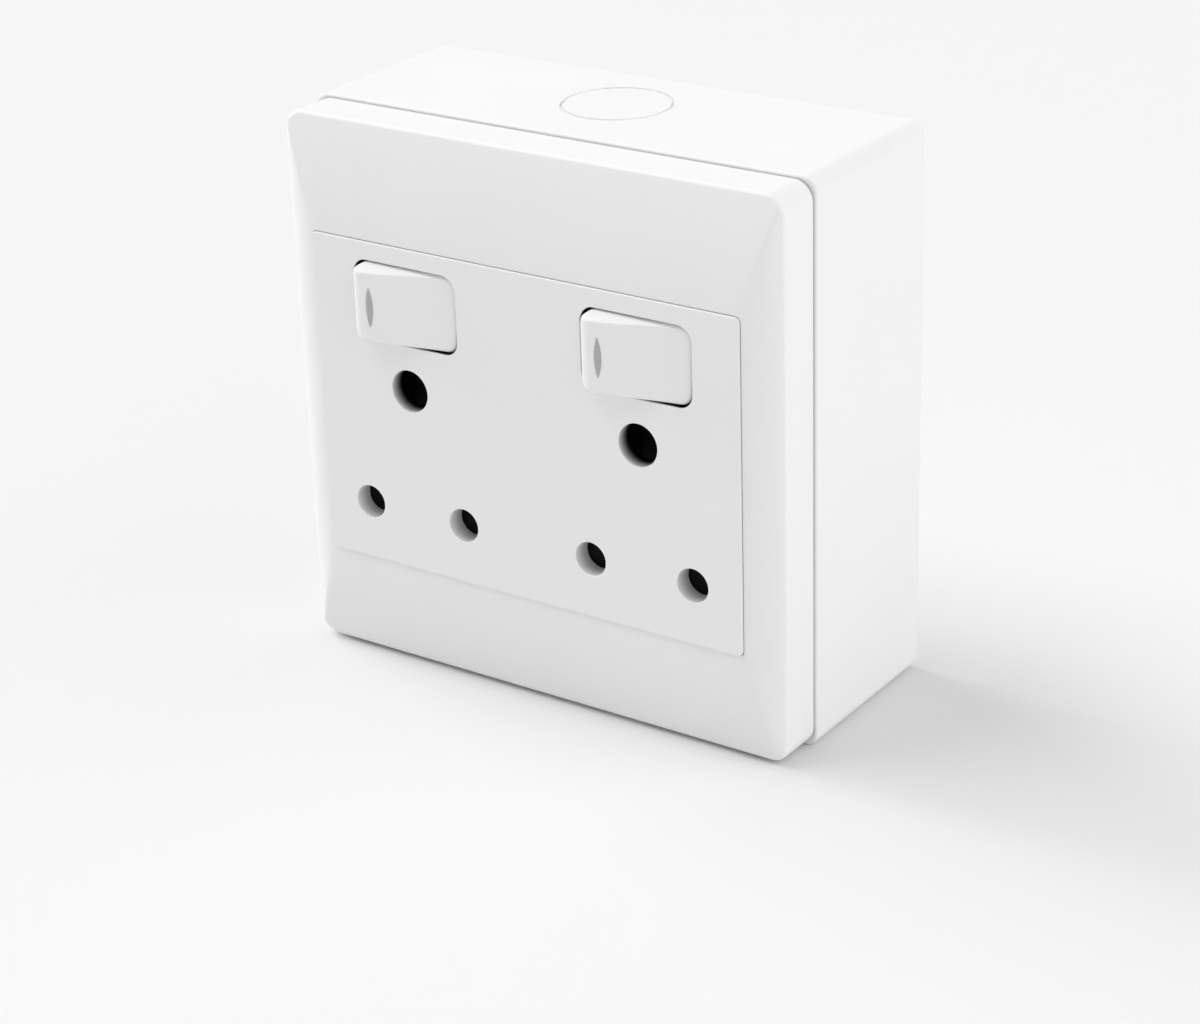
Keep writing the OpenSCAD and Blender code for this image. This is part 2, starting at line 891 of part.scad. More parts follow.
// Neutral bar with its terminal and a sleeve for each outlet
module neutral_bar() {
    color("goldenrod")
        upright()
            translate([0, pin_y, 0]) {
                bar(left - half_pitch - bar_w / 2, right - half_pitch + bar_w / 2);
                terminal_pillar();
                for (x = [left, right])
                    translate([x - half_pitch, 0, 0]) {
                        rod(tail_r, channel_z - strip_t / 2, pocket_z + strip_t / 2);
                        sleeve(pin_r, pocket_z);
                    }
            }
}

// Earth bar with its terminal and a sleeve for each outlet
module earth_bar() {
    color("goldenrod")
        upright()
            translate([0, earth_y, 0]) {
                bar(left - bar_w / 2, right + bar_w / 2);
                terminal_pillar();
                for (x = [left, right])
                    translate([x, 0, 0])
                        sleeve(earth_pin_r, channel_z);
            }
}

// Three terminal screws, in from behind
module terminal_screws() {
    color("silver")
        upright()
            for (y = [pin_y, earth_y, rocker_y])
                translate([0, y, 0])
                    difference() {
                        rod(terminal_screw_r, pillar_z - terminal_screw_out,
                            pillar_z + wire_drop - wire_hole_r);
                        block(2 * terminal_screw_r + cut, slot_w, pillar_z - terminal_screw_out - cut,
                              pillar_z - terminal_screw_out + slot_d);
                    }
}

// Neon lamp, its two leads resting on the base's posts
module neon_lamp_shape() {
    translate([lamp_x, rocker_y, lamp_z]) {
        cross_rod(lamp_r, -lamp_half_l + lamp_r, lamp_half_l - lamp_r);
        for (side = [-1, 1])
            translate([0, side * (lamp_half_l - lamp_r), 0])
                sphere(lamp_r);
        cross_rod(lead_r, -lead_reach, lead_reach);
    }
}

module neon_lamp_left() {
    color("orange")
        upright()
            translate([left, 0, 0])
                neon_lamp_shape();
}

module neon_lamp_right() {
    color("orange")
        upright()
            translate([right, 0, 0])
                neon_lamp_shape();
}

// Shutter: a blade over both pin holes, a tongue and the ramp that the earth pin pushes
module shutter_shape() {
    top = shutter_z + shutter_t;
    blade_top = pin_y + blade_half_h;
    translate([0, pin_y, 0])
        block(2 * blade_half_w, 2 * blade_half_h, shutter_z, top);
    translate([-tongue_half_w, blade_top - cut, shutter_z])
        cube([2 * tongue_half_w, ramp_foot_y - blade_top + cut, shutter_t]);
    translate([-tongue_half_w, catch_y, ramp_z])
        cube([2 * tongue_half_w, catch_t, top - ramp_z]);
    translate([0, 0, spring_z])
        cross_rod(peg_r, catch_y - peg_l, catch_y + catch_t / 2);
    translate([-tongue_half_w, 0, 0])
        rotate([90, 0, 90])
            linear_extrude(2 * tongue_half_w)
                polygon([[ramp_foot_y - ramp_t, top], [ramp_foot_y, top],
                         [ramp_head_y, ramp_z + ramp_t / 2], [ramp_head_y, ramp_z],
                         [ramp_head_y - ramp_t, ramp_z], [ramp_foot_y - ramp_t, shutter_z]]);
}

module shutter_left() {
    color("dimgray")
        upright()
            translate([left, 0, 0])
                shutter_shape();
}

module shutter_right() {
    color("dimgray")
        upright()
            translate([right, 0, 0])
                shutter_shape();
}

// Spring that lifts the shutter, between the base's post and the tongue's catch
module shutter_spring_shape() {
    translate([0, post_y, spring_z])
        rotate([-90, 0, 0])
            coil(return_r, return_wire_r, catch_y - post_y, return_turns);
}

module shutter_spring_left() {
    color("silver")
        upright()
            translate([left, 0, 0])
                shutter_spring_shape();
}

module shutter_spring_right() {
    color("silver")
        upright()
            translate([right, 0, 0])
                shutter_spring_shape();
}

back_box();
mounting_frame();
frame_screws();
cover_plate();
socket_front();
socket_base();
base_screws();
rocker_left();
rocker_right();
indicator_lens_left();
indicator_lens_right();
plunger_left();
plunger_right();
plunger_spring_left();
plunger_spring_right();
moving_contact_left();
moving_contact_right();
live_feed_bar();
live_contact_left();
live_contact_right();
neutral_bar();
earth_bar();
terminal_screws();
neon_lamp_left();
neon_lamp_right();
shutter_left();
shutter_right();
shutter_spring_left();
shutter_spring_right();
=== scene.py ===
import json
import math

import bmesh
import bpy
from mathutils import Matrix, Vector


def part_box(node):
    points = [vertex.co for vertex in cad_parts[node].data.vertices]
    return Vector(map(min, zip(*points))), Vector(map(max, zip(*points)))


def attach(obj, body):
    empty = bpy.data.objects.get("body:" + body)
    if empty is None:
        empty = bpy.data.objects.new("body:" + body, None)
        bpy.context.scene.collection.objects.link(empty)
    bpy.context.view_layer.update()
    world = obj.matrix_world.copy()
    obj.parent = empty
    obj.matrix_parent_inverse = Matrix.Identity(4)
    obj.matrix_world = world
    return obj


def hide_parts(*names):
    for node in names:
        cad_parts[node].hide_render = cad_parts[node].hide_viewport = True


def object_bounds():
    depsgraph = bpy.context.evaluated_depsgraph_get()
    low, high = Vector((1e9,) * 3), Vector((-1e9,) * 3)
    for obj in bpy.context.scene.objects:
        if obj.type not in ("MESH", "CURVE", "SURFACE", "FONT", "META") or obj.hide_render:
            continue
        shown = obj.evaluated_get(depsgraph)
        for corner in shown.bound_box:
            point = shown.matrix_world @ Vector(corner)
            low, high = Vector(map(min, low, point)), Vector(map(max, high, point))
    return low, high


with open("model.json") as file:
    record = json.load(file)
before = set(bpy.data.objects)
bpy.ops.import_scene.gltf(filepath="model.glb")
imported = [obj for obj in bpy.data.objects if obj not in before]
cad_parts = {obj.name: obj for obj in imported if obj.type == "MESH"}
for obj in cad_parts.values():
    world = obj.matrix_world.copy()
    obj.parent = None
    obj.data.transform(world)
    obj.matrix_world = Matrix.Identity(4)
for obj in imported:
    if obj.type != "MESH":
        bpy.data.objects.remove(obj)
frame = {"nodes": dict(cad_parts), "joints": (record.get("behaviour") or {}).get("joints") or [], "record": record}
cad_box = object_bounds()
nodes = frame["nodes"]


# Helpers for directions and shader nodes

def direction(turn, rise):
    """Unit vector so many degrees round to the right of the front, and above the level."""
    turn, rise = math.radians(turn), math.radians(rise)
    return Vector((math.sin(turn) * math.cos(rise), -math.cos(turn) * math.cos(rise),
                   math.sin(rise)))


def feed(tree, value, socket):
    """Gives a socket its value: another socket by a link, or a plain number."""
    if isinstance(value, bpy.types.NodeSocket):
        tree.links.new(value, socket)
    else:
        socket.default_value = value


def worked_out(tree, operation, *values):
    """The result of a Math node over sockets or plain numbers."""
    node = tree.nodes.new("ShaderNodeMath")
    node.operation = operation
    for value, socket in zip(values, node.inputs):
        feed(tree, value, socket)
    return node.outputs[0]


def noise(tree, place, scale, detail):
    """Cloudy noise over given coordinates."""
    node = tree.nodes.new("ShaderNodeTexNoise")
    node.inputs["Scale"].default_value = scale
    node.inputs["Detail"].default_value = detail
    tree.links.new(place, node.inputs["Vector"])
    return node.outputs["Fac"]


# Camera

IMAGE_W = 1200
FOCAL_PX = 2987.1
SENSOR_MM = 36
TURN, RISE, ROLL = 35.152, 24.15, -1.892
EYE = (0.34521, -0.52144, 0.24160)
NEAREST, FARTHEST = 0.01, 50


def make_camera():
    """Camera at the photograph's angle, right of the front and above, with a slight roll."""
    back, right = direction(TURN, RISE), direction(TURN + 90, 0)
    level = Matrix((right, back.cross(right), back)).transposed().to_4x4()
    data = bpy.data.cameras.new("camera")
    data.sensor_width = SENSOR_MM
    data.lens = SENSOR_MM * FOCAL_PX / IMAGE_W
    data.clip_start, data.clip_end = NEAREST, FARTHEST
    camera = bpy.data.objects.new("camera", data)
    camera.matrix_world = (Matrix.Translation(EYE) @ level
                           @ Matrix.Rotation(math.radians(ROLL), 4, "Z"))
    bpy.context.scene.collection.objects.link(camera)
    bpy.context.scene.camera = camera


# Light, floor and background

# The tent's strength, and what its patches add: turn, rise, outer and inner half angle in
# degrees, strength. The lamps: where the light comes from, spread in degrees, strength.
TENT = 0.54
PATCHES = {
    "left_wall": (-95, 25, 60, 30, 0.17),
    "right_wall": (95, 20, 55, 25, 1.05),
}
LAMPS = {
    "key": ((-1, 0.17, 0.8), 24, 0.46),
    "left_window": ((-0.95, -0.05, 0.3), 14, 0.94),
    "high_window": ((-0.45, -0.25, 1.0), 30, 0.84),
}
WHITE_SEEN = 0.94
FLOOR_HALF, FLOOR_SHADE, FLOOR_ROUGHNESS, FLOOR_SPECULAR = 6, 0.795, 0.6, 0.2


def make_lamps():
    """Far soft lamps to the left and above, which throw the shadow to the right."""
    for name, (toward, spread, strength) in LAMPS.items():
        data = bpy.data.lights.new(name, "SUN")
        data.angle = math.radians(spread)
        data.energy = strength
        lamp = bpy.data.objects.new(name, data)
        lamp.rotation_euler = Vector(toward).to_track_quat("Z", "Y").to_euler()
        bpy.context.scene.collection.objects.link(lamp)


def white_sky(tree, strength):
    """A white background shader of some strength."""
    sky = tree.nodes.new("ShaderNodeBackground")
    sky.inputs["Color"].default_value = (1, 1, 1, 1)
    feed(tree, strength, sky.inputs["Strength"])
    return sky.outputs[0]


def make_world():
    """A white tent with brighter sides, plain white to the camera and through glass."""
    world = bpy.data.worlds.new("studio")
    bpy.context.scene.world = world
    world.use_nodes = True
    tree = world.node_tree
    tree.nodes.clear()
    new, link = tree.nodes.new, tree.links.new
    place = new("ShaderNodeTexCoord")
    tent = TENT
    for turn, rise, outer, inner, strength in PATCHES.values():
        along = new("ShaderNodeVectorMath")
        along.operation = "DOT_PRODUCT"
        link(place.outputs["Generated"], along.inputs[0])
        along.inputs[1].default_value = direction(turn, rise)
        patch = new("ShaderNodeMapRange")
        patch.interpolation_type = "SMOOTHSTEP"
        patch.inputs["From Min"].default_value = math.cos(math.radians(outer))
        patch.inputs["From Max"].default_value = math.cos(math.radians(inner))
        link(along.outputs["Value"], patch.inputs["Value"])
        tent = worked_out(tree, "MULTIPLY_ADD", patch.outputs["Result"], strength, tent)
    path = new("ShaderNodeLightPath")
    seen = worked_out(tree, "MAXIMUM", path.outputs["Is Camera Ray"],
                      path.outputs["Is Transmission Ray"])
    mix = new("ShaderNodeMixShader")
    for value, socket in zip((seen, white_sky(tree, tent), white_sky(tree, WHITE_SEEN)),
                             mix.inputs):
        link(value, socket)
    link(mix.outputs[0], new("ShaderNodeOutputWorld").inputs["Surface"])


def make_floor():
    """Pale seamless floor under the box."""
    bm = bmesh.new()
    bmesh.ops.create_grid(bm, x_segments=2, y_segments=2, size=FLOOR_HALF)
    bmesh.ops.translate(bm, verts=bm.verts, vec=(0, 0, cad_box[0][2]))
    mesh = bpy.data.meshes.new("floor")
    bm.to_mesh(mesh)
    bm.free()
    floor = bpy.data.objects.new("floor", mesh)
    bpy.context.scene.collection.objects.link(floor)
    material = bpy.data.materials.new("pale_floor")
    material.use_nodes = True
    bsdf = material.node_tree.nodes["Principled BSDF"]
    bsdf.inputs["Base Color"].default_value = (FLOOR_SHADE, FLOOR_SHADE, FLOOR_SHADE, 1)
    bsdf.inputs["Roughness"].default_value = FLOOR_ROUGHNESS
    bsdf.inputs["Specular IOR Level"].default_value = FLOOR_SPECULAR
    mesh.materials.append(material)


# Shared surface effects

# Noise scales, per metre, and their detail
CLOUD, PEEL, STAIN, DRAW = (45, 4), (900, 2), (160, 5), (1, 3)
DRAW_STRETCH = (250, 2500, 2500)
MOULDED_ROUGHNESS_SPREAD, METAL_ROUGHNESS_SPREAD = 0.10, 0.22
STAIN_FROM, STAIN_TO = 0.45, 0.75


def effect_group(name, inputs):
    """A node group with the given inputs, and a colour, roughness and height to give out."""
    tree = bpy.data.node_groups.new(name, "ShaderNodeTree")
    for label, kind, value in inputs:
        socket = tree.interface.new_socket(label, in_out="INPUT", socket_type="NodeSocket" + kind)
        socket.default_value = value
    for label, kind in (("Color", "Color"), ("Roughness", "Float"), ("Height", "Float")):
        tree.interface.new_socket(label, in_out="OUTPUT", socket_type="NodeSocket" + kind)
    given, out = tree.nodes.new("NodeGroupInput"), tree.nodes.new("NodeGroupOutput")
    place = tree.nodes.new("ShaderNodeTexCoord").outputs["Object"]
    return tree, given.outputs, out.inputs, place


def moulded_skin():
    """Mottle and fine orange peel of an injection moulding, with a Light factor that lets painted shade darken its
    colour.
    """
    tree, given, out, place = effect_group("moulded_skin", [
        ("Shade", "Color", (0.8, 0.8, 0.8, 1)), ("Mottle", "Float", 0.02),
        ("Gloss", "Float", 0.35), ("Light", "Float", 1.0)])
    centred = worked_out(tree, "SUBTRACT", noise(tree, place, *CLOUD), 0.5)
    amount = worked_out(tree, "MULTIPLY_ADD", centred, given["Mottle"], 1.0)
    shade = tree.nodes.new("ShaderNodeVectorMath")
    shade.operation = "SCALE"
    feed(tree, given["Shade"], shade.inputs[0])
    feed(tree, worked_out(tree, "MULTIPLY", amount, given["Light"]), shade.inputs["Scale"])
    feed(tree, shade.outputs[0], out["Color"])
    feed(tree, worked_out(tree, "MULTIPLY_ADD", centred, MOULDED_ROUGHNESS_SPREAD, given["Gloss"]),
         out["Roughness"])
    feed(tree, noise(tree, place, *PEEL), out["Height"])
    return tree


def drawn_metal():
    """Fine draw lines and stains of pressed or plated metal."""
    tree, given, out, place = effect_group("drawn_metal", [
        ("Shade", "Color", (0.6, 0.6, 0.6, 1)), ("Stain", "Color", (0.4, 0.4, 0.4, 1)),
        ("Gloss", "Float", 0.3)])
    stretch = tree.nodes.new("ShaderNodeMapping")
    stretch.inputs["Scale"].default_value = DRAW_STRETCH
    feed(tree, place, stretch.inputs["Vector"])
    stain = noise(tree, place, *STAIN)
    spots = tree.nodes.new("ShaderNodeMapRange")
    spots.inputs["From Min"].default_value = STAIN_FROM
    spots.inputs["From Max"].default_value = STAIN_TO
    feed(tree, stain, spots.inputs["Value"])
    mix = tree.nodes.new("ShaderNodeMix")
    mix.data_type = "RGBA"
    feed(tree, spots.outputs["Result"], mix.inputs["Factor"])
    feed(tree, given["Shade"], mix.inputs[6])
    feed(tree, given["Stain"], mix.inputs[7])
    feed(tree, mix.outputs[2], out["Color"])
    feed(tree, worked_out(tree, "MULTIPLY_ADD", stain, METAL_ROUGHNESS_SPREAD, given["Gloss"]),
         out["Roughness"])
    feed(tree, noise(tree, stretch.outputs["Vector"], *DRAW), out["Height"])
    return tree


def finish(name, effect, values, relief, depth, **sockets):
    """A material: one Principled shader fed by a shared effect with its own values."""
    material = bpy.data.materials.new(name)
    material.use_nodes = True
    tree = material.node_tree
    bsdf = tree.nodes["Principled BSDF"]
    surface = tree.nodes.new("ShaderNodeGroup")
    surface.node_tree = effect
    for key, value in values.items():
        surface.inputs[key].default_value = value
    feed(tree, surface.outputs["Color"], bsdf.inputs["Base Color"])
    feed(tree, surface.outputs["Roughness"], bsdf.inputs["Roughness"])
    bump = tree.nodes.new("ShaderNodeBump")
    bump.inputs["Strength"].default_value = relief
    bump.inputs["Distance"].default_value = depth
    feed(tree, surface.outputs["Height"], bump.inputs["Height"])
    feed(tree, bump.outputs["Normal"], bsdf.inputs["Normal"])
    for key, value in sockets.items():
        bsdf.inputs[key.replace("_", " ")].default_value = value
    material.diffuse_color = values["Shade"]
    return material


# Finishes

PEEL_DEPTH, FINE_DEPTH = 0.0002, 0.0001
SATIN = 0.3
# How steeply the painted shade darkens down the socket front's holes
PAINTED_SHADE_FALL = 1.5


def with_painted_shade(material):
    """Paints shade into a moulding down its holes, from its own painted shade attribute."""
    tree = material.node_tree
    depth = tree.nodes.new("ShaderNodeAttribute")
    depth.attribute_name = "painted_pocket_shade"
    left = tree.nodes.new("ShaderNodeMath")
    left.operation = "SUBTRACT"
    left.use_clamp = True
    left.inputs[0].default_value = 1.0
    feed(tree, depth.outputs["Fac"], left.inputs[1])
    surface = next(node for node in tree.nodes if node.type == "GROUP")
    feed(tree, worked_out(tree, "POWER", left.outputs[0], PAINTED_SHADE_FALL), surface.inputs["Light"])
    return material


def make_finishes():
    """The finish of each material slot in the record, and the socket front's own, which has painted shade down its
    holes.
    """
    skin, metal = moulded_skin(), drawn_metal()
    white = {"Shade": (0.85, 0.85, 0.845, 1), "Mottle": 0.03, "Gloss": 0.4}
    return {
        "white_moulding": finish("white_moulding", skin, white, 0.12, PEEL_DEPTH,
                                 Specular_IOR_Level=SATIN),
        # The socket front's own finish carries painted shade down its holes and apertures
        "front_moulding_painted_shade": with_painted_shade(finish("front_moulding_painted_shade", skin, white, 0.12, PEEL_DEPTH,
                                          Specular_IOR_Level=SATIN)),
        "grey_moulding": finish(
            "grey_moulding", skin,
            {"Shade": (0.55, 0.55, 0.54, 1), "Mottle": 0.10, "Gloss": 0.5}, 0.3, PEEL_DEPTH),
        "base_moulding": finish(
            "base_moulding", skin,
            {"Shade": (0.045, 0.045, 0.047, 1), "Mottle": 0.4, "Gloss": 0.45}, 0.4, PEEL_DEPTH),
        "steel": finish(
            "plated_steel", metal,
            {"Shade": (0.62, 0.62, 0.60, 1), "Stain": (0.50, 0.48, 0.44, 1), "Gloss": 0.22},
            0.2, FINE_DEPTH, Metallic=1.0),
        "brass_strip": finish(
            "pressed_brass", metal,
            {"Shade": (0.78, 0.57, 0.25, 1), "Stain": (0.55, 0.36, 0.15, 1), "Gloss": 0.24},
            0.2, FINE_DEPTH, Metallic=1.0),
        "lens": finish(
            "smoked_lens", skin,
            {"Shade": (0.40, 0.40, 0.40, 1), "Mottle": 0.10, "Gloss": 0.16},
            0.05, FINE_DEPTH, Coat_Weight=0.4),
        "plunger": finish(
            "plunger_moulding", skin,
            {"Shade": (0.76, 0.74, 0.66, 1), "Mottle": 0.06, "Gloss": 0.42}, 0.2, PEEL_DEPTH),
        "shutter": finish(
            "shutter_moulding", skin,
            {"Shade": (0.004, 0.004, 0.004, 1), "Mottle": 0.4, "Gloss": 0.6}, 0.3, PEEL_DEPTH,
            Specular_IOR_Level=0.15),
        "lamp_glass": finish(
            "lamp_glass", skin, {"Shade": (0.9, 0.72, 0.6, 1), "Mottle": 0.05, "Gloss": 0.06},
            0.05, FINE_DEPTH, Transmission_Weight=0.85),
    }


# Sizes of the pieces
# In metres, with x across, z up, and heights measured out from the wall.

SIDES = ("left", "right")
HINGES = {joint["child"]: Vector(joint["pos_m"])
          for joint in frame["joints"] if "pos_m" in joint}
CLOSE = 0.0001
WELD = 2e-6
# Folds in degrees: what is flat, what is shaded sharp, and what is square enough to round
FLAT_FOLD, SHARP_FOLD, SQUARE_FOLD = 0.4, 32, 60

# Surface box
BOX_FRONT = -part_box("back_box")[0].y
BOX_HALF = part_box("back_box")[1].x
BOX_EDGE = 0.001
MOUTH_ROUND, BACK_ROUND = 0.0006, 0.0005

# Cover plate: the rim's height, the pillow's rise from it to the flat field, and the window
SEAM = 0.0004
PLATE_HALF, PLATE_CORNER, CAD_PLATE_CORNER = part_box("cover_plate")[1].x, 0.0042, 0.005
PLATE_BACK = BOX_FRONT + SEAM
RIM, CROWN, PLATE_WALL = 0.0546, 0.0037, 0.0024
FIELD_HALF = (0.0526, 0.0358)
WINDOW_HALF, WINDOW_CORNER, WINDOW_PLAY = (0.05395, 0.03715), 0.00135, 0.00015
RIM_ROUND, LOW_RIM_ROUND, WINDOW_ROUND = 0.001, 0.0016, 0.0001
LOW_RIM_SHARE = 0.9
MITRE_BLEND = 0.0003
LEANING, UPRIGHT = 0.5, 0.3
SIDE_STEPS, CORNER_STEPS, RIM_STEPS, PILLOW_STEPS, WINDOW_STEPS = 40, 10, 6, 24, 3

# Socket front: its holes, and how fast painted shade darkens each kind with depth, per metre
FACE = -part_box("socket_front")[0].y
FACE_ROUND = 0.0002
PIN_HOLE, EARTH_HOLE = 0.0038, 0.00475
PIN_PITCH, PIN_Z, EARTH_Z = 0.0254, -0.0236, 0.004975
APERTURE, APERTURE_Z, PAINTED_SHADE_LEFT_OF = (0.0135, 0.0089), HINGES["rocker_left"].z, -0.01
# Painted shade: its rate in the pin holes, the earth hole and the rocker apertures, and the unpainted depth at
# each mouth. Aperture walls get it below their middle and at their left end.
PIN_PAINTED_SHADE, EARTH_PAINTED_SHADE, APERTURE_PAINTED_SHADE = 60, 320, 1500
UNPAINTED_MOUTH = 0.0003

# Rockers: heights are over the hinge, and x runs along the tilted rocker
ROCKER_TILT = math.radians(6)
ROCKER_HALF_W, ROCKER_HALF_H, ROCKER_CORNER = 0.01285, 0.0085, 0.0031
ROCKER_WALL, ROCKER_CEILING, CAP_BASE = 0.0014, 0.00185, 0.0008
ROCKER_END, ROCKER_ROUND = 0.0041, 0.0009
HUMP_TOP, HUMP_ROUND, HUMP_BLEND = 0.0058, 0.0032, 0.0012
SWEEP_LOW, SWEEP_RADIUS = 0.012, 0.078
FLANK_DROP, FLANK_FADE, FLANK_SLOPE, FLANK_BLEND = 0.0033, 1.35, 3.0, 0.0009
CAP_LONG_STEPS, CAP_SHORT_STEPS, CAP_RINGS = 24, 12, 34
EDGE_CROWDING = 1.25

# Indicator lenses
LENS_X, LENS_Z, LENS_HALF_L, LENS_HALF_W = -0.0078, -0.0004, 0.0045, 0.00085
LENS_BASE, LENS_PROUD, LENS_DOME = 0.0018, 0.00005, 0.0002
LENS_ARC_STEPS, LENS_RINGS = 24, 8


# Shaping

def joined_mesh(node):
    """A copy of a CAD node's mesh with its loose triangles merged."""
    bm = bmesh.new()
    bm.from_mesh(nodes[node].data)
    bmesh.ops.remove_doubles(bm, verts=bm.verts, dist=WELD)
    bmesh.ops.dissolve_limit(bm, angle_limit=math.radians(FLAT_FOLD), verts=bm.verts,
                             edges=bm.edges)
    return bm


def soften(bm, radius, wanted):
    """Rounds the square edges whose middle passes a test."""
    edges = [edge for edge in bm.edges
             if len(edge.link_faces) == 2
             and edge.calc_face_angle(0) > math.radians(SQUARE_FOLD)
             and wanted((edge.verts[0].co + edge.verts[1].co) / 2)]
    bmesh.ops.bevel(bm, geom=edges, offset=radius, offset_type="OFFSET", segments=3,
                    profile=0.5, affect="EDGES", clamp_overlap=False, material=-1)


def soft_min(a, b, blend):
    """The smaller of two heights, with a round passage between them."""
    near = max(blend - abs(a - b), 0) / blend
    return min(a, b) - near * near * blend / 4


def round_drop(radius, inset):
    """How far a quarter round lies below its top, so far in from its outer edge."""
    inset = min(max(inset, 0), radius)
    return radius - math.sqrt(radius ** 2 - (radius - inset) ** 2)


def edge_distance(x, z, half_w, half_h, corner):
    """How far inside a round-cornered rectangle a point lies."""
    over_x, over_z = abs(x) - half_w + corner, abs(z) - half_h + corner
    if over_x > 0 and over_z > 0:
        return corner - math.hypot(over_x, over_z)
    return min(half_w - abs(x), half_h - abs(z))


def rounded_outline(half_w, half_h, corner, along, across):
    """Points round a rectangle with round corners, each with the way out of the edge there."""
    points = []
    centres = ((1, 1), (-1, 1), (-1, -1), (1, -1))
    for turn, (sx, sz) in enumerate(centres):
        for step in range(CORNER_STEPS + 1):
            angle = math.radians(90 * (turn + step / CORNER_STEPS))
            nx, nz = math.cos(angle), math.sin(angle)
            x, z = sx * (half_w - corner) + corner * nx, sz * (half_h - corner) + corner * nz
            points.append((x, z, nx, nz))
        next_x, next_z = centres[(turn + 1) % 4]
        end_x = next_x * (half_w - corner) + corner * nx
        end_z = next_z * (half_h - corner) + corner * nz
        steps = along if turn % 2 == 0 else across
        for step in range(1, steps):
            share = step / steps
            points.append((x + (end_x - x) * share, z + (end_z - z) * share, nx, nz))
    return points


def draw_out(bm, rows):
    """Extrudes a closed outline row by row; each row has as many (x, height, z) points."""
    loop = [bm.verts.new() for _ in rows[0]]
    edges = [bm.edges.new(pair) for pair in zip(loop, loop[1:] + loop[:1])]
    for row in rows:
        for vert, (x, height, z) in zip(loop, row):
            vert.co = (x, -height, z)
        if row is rows[-1]:
            break
        made = set(bmesh.ops.extrude_edge_only(bm, edges=edges)["geom"])
        loop = [next(edge.other_vert(vert) for edge in vert.link_edges
                     if edge.other_vert(vert) in made) for vert in loop]
        edges = [bm.edges.get(pair) for pair in zip(loop, loop[1:] + loop[:1])]


def draw_cap(bm, outline, base, height, rings):
    """A wall up from base, and a front over it in rings that shrink to the middle."""
    rows = [[(x, base, z) for x, z in outline]]
    for step in range(rings + 1):
        scale = 1 - (step / rings) ** EDGE_CROWDING
        rows.append([(x * scale, height(x * scale, z * scale), z * scale) for x, z in outline])
    draw_out(bm, rows)


def weld(bm):
    """Merges doubled points and turns all faces outwards."""
    bmesh.ops.remove_doubles(bm, verts=bm.verts, dist=WELD)
    bmesh.ops.recalc_face_normals(bm, faces=bm.faces)


def moulding(name, bm, slot, body, replaced, finish_name=None):
    """Turns a finished mesh into a piece that rides on its body in place of its CAD node."""
    for face in bm.faces:
        face.smooth = True
    mesh = bpy.data.meshes.new(name)
    bm.to_mesh(mesh)
    bm.free()
    mesh.set_sharp_from_angle(angle=math.radians(SHARP_FOLD))
    mesh.materials.clear()
    mesh.materials.append(finishes[finish_name or slot])
    piece = bpy.data.objects.new(name, mesh)
    bpy.context.scene.collection.objects.link(piece)
    weighted = piece.modifiers.new("flat_faces_first", "WEIGHTED_NORMAL")
    weighted.keep_sharp = True
    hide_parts(replaced)
    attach(piece, body)


# Cover plate

def pillow_height(x, z):
    """Height of the plate's pillow front: two crowned sections that meet in soft mitres."""
    heights = []
    for place, field in zip((abs(x), abs(z)), FIELD_HALF):
        band = PLATE_HALF - field
        radius = (band ** 2 + CROWN ** 2) / (2 * CROWN)
        out = max(place - field, 0)
        heights.append(RIM + CROWN - radius + math.sqrt(radius ** 2 - out ** 2))
    return soft_min(*heights, MITRE_BLEND)


def rim_points(x, z, nx, nz):
    """Points over the plate's rounded rim, which is rounder along its lower edge."""
    low = min(max((-z / PLATE_HALF - LOW_RIM_SHARE) / (1 - LOW_RIM_SHARE), 0), 1)
    radius = RIM_ROUND + (LOW_RIM_ROUND - RIM_ROUND) * low
    rise = pillow_height(x - nx * radius, z - nz * radius) - pillow_height(x, z)
    end = math.pi / 2 - math.atan2(rise, radius)
    inset = radius * (1 - math.cos(end))
    level = pillow_height(x - nx * inset, z - nz * inset) - radius * math.sin(end)
    points = []
    for step in range(RIM_STEPS + 1):
        angle = end * step / RIM_STEPS
        inset = radius * (1 - math.cos(angle))
        points.append((x - nx * inset, level + radius * math.sin(angle), z - nz * inset))
    return points


def plate_spoke(edge, window):
    """Points from the plate's back edge over its rim and pillow to the window's inner edge."""
    points = [(edge[0], PLATE_BACK, edge[1])] + rim_points(*edge)
    start_x, _, start_z = points[-1]
    wx, wz, wnx, wnz = window
    end_x, end_z = wx + wnx * WINDOW_ROUND, wz + wnz * WINDOW_ROUND
    for step in range(1, PILLOW_STEPS + 1):
        share = step / PILLOW_STEPS
        x, z = start_x + (end_x - start_x) * share, start_z + (end_z - start_z) * share
        points.append((x, pillow_height(x, z), z))
    top = points[-1][1]
    for step in range(1, WINDOW_STEPS + 1):
        angle = math.radians(90 * step / WINDOW_STEPS)
        inset = WINDOW_ROUND * (1 - math.sin(angle))
        points.append((wx + wnx * inset, top - WINDOW_ROUND * (1 - math.cos(angle)),
                       wz + wnz * inset))
    points.append((wx, RIM + CROWN - PLATE_WALL, wz))
    return points


def is_plate_skin(face):
    """Whether a face of the CAD plate lies on its side, its pillow or its window's wall."""
    x, y, z = face.calc_center_median()
    lean = abs(face.normal.y)
    from_side = edge_distance(x, z, PLATE_HALF, PLATE_HALF, CAD_PLATE_CORNER)
    from_window = edge_distance(x, z, *WINDOW_HALF, WINDOW_CORNER) + WINDOW_PLAY
    side = from_side < 0.6 * CLOSE and lean < LEANING
    front = -y > pillow_height(x, z) - CLOSE
    window = (abs(from_window) < CLOSE and lean < UPRIGHT
              and min(-vert.co.y for vert in face.verts) > RIM)
    return side or front or window


